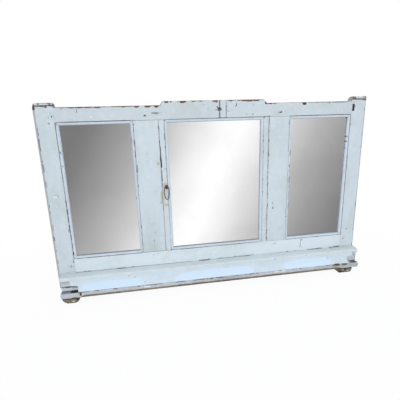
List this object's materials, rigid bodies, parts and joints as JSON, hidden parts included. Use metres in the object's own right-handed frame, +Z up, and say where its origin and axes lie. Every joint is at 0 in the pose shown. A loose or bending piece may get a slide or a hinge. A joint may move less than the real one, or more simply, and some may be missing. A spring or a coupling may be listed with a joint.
{
  "type": "overmantel mirror",
  "caption": "Wide painted pine overmantel mirror with narrow side panes, horned stiles, a moulded shelf base and a small iron ring pull.",
  "frame": {"origin": "middle of the base's footprint at the level of the feet's soles", "axes": "+X to the viewer's right along the mirror, +Y from the front to the wall, +Z up"},
  "size_m": [1.434, 0.082, 0.8465],
  "materials": {
    "frame_paint": "worn satin pale blue-grey paint on pine",
    "bead_paint": "worn satin pale blue paint on pine",
    "bare_wood": "bare aged pine",
    "mirror_glass": "silvered glass",
    "aged_iron": "rust-brown aged iron"
  },
  "bodies": {
    "mirror_frame": {"apron": "frame_paint", "base_board": "frame_paint", "bottom_rail": "frame_paint", "left_backboard": "bare_wood", "left_end_block": "frame_paint", "left_filler_strip": "frame_paint", "left_foot": "bare_wood", "left_mirror": "mirror_glass", "left_pane_bottom_bead": "bead_paint", "left_pane_bottom_fillet": "bare_wood", "left_pane_left_bead": "bead_paint", "left_pane_left_fillet": "bare_wood", "left_pane_right_bead": "bead_paint", "left_pane_right_fillet": "bare_wood", "left_pane_top_bead": "bead_paint", "left_pane_top_fillet": "bare_wood", "left_peg_1": "frame_paint", "left_peg_2": "frame_paint", "left_peg_3": "frame_paint", "left_peg_4": "frame_paint", "left_post": "frame_paint", "left_stile": "frame_paint", "middle_backboard": "bare_wood", "middle_mirror": "mirror_glass", "middle_pane_bottom_bead": "bead_paint", "middle_pane_bottom_fillet": "bare_wood", "middle_pane_left_bead": "bead_paint", "middle_pane_left_fillet": "bare_wood", "middle_pane_right_bead": "bead_paint", "middle_pane_right_fillet": "bare_wood", "middle_pane_top_bead": "bead_paint", "middle_pane_top_fillet": "bare_wood", "right_backboard": "bare_wood", "right_end_block": "frame_paint", "right_filler_strip": "frame_paint", "right_foot": "bare_wood", "right_mirror": "mirror_glass", "right_pane_bottom_bead": "bead_paint", "right_pane_bottom_fillet": "bare_wood", "right_pane_left_bead": "bead_paint", "right_pane_left_fillet": "bare_wood", "right_pane_right_bead": "bead_paint", "right_pane_right_fillet": "bare_wood", "right_pane_top_bead": "bead_paint", "right_pane_top_fillet": "bare_wood", "right_peg_1": "frame_paint", "right_peg_2": "frame_paint", "right_peg_3": "frame_paint", "right_peg_4": "frame_paint", "right_post": "frame_paint", "right_stile": "frame_paint", "ring_staple": "aged_iron", "shelf_nose_moulding": "frame_paint", "top_rail": "frame_paint", "top_rail_patch": "frame_paint"},
    "drop_ring": {"drop_ring": "aged_iron"}
  },
  "joints": [
    {"name": "ring_swing", "type": "hinge", "parent": "mirror_frame", "child": "drop_ring", "pos_m": [-0.2165, 0.0026, 0.483], "axis": [-1, 0, 0], "range_deg": [-3, 175]}
  ]
}
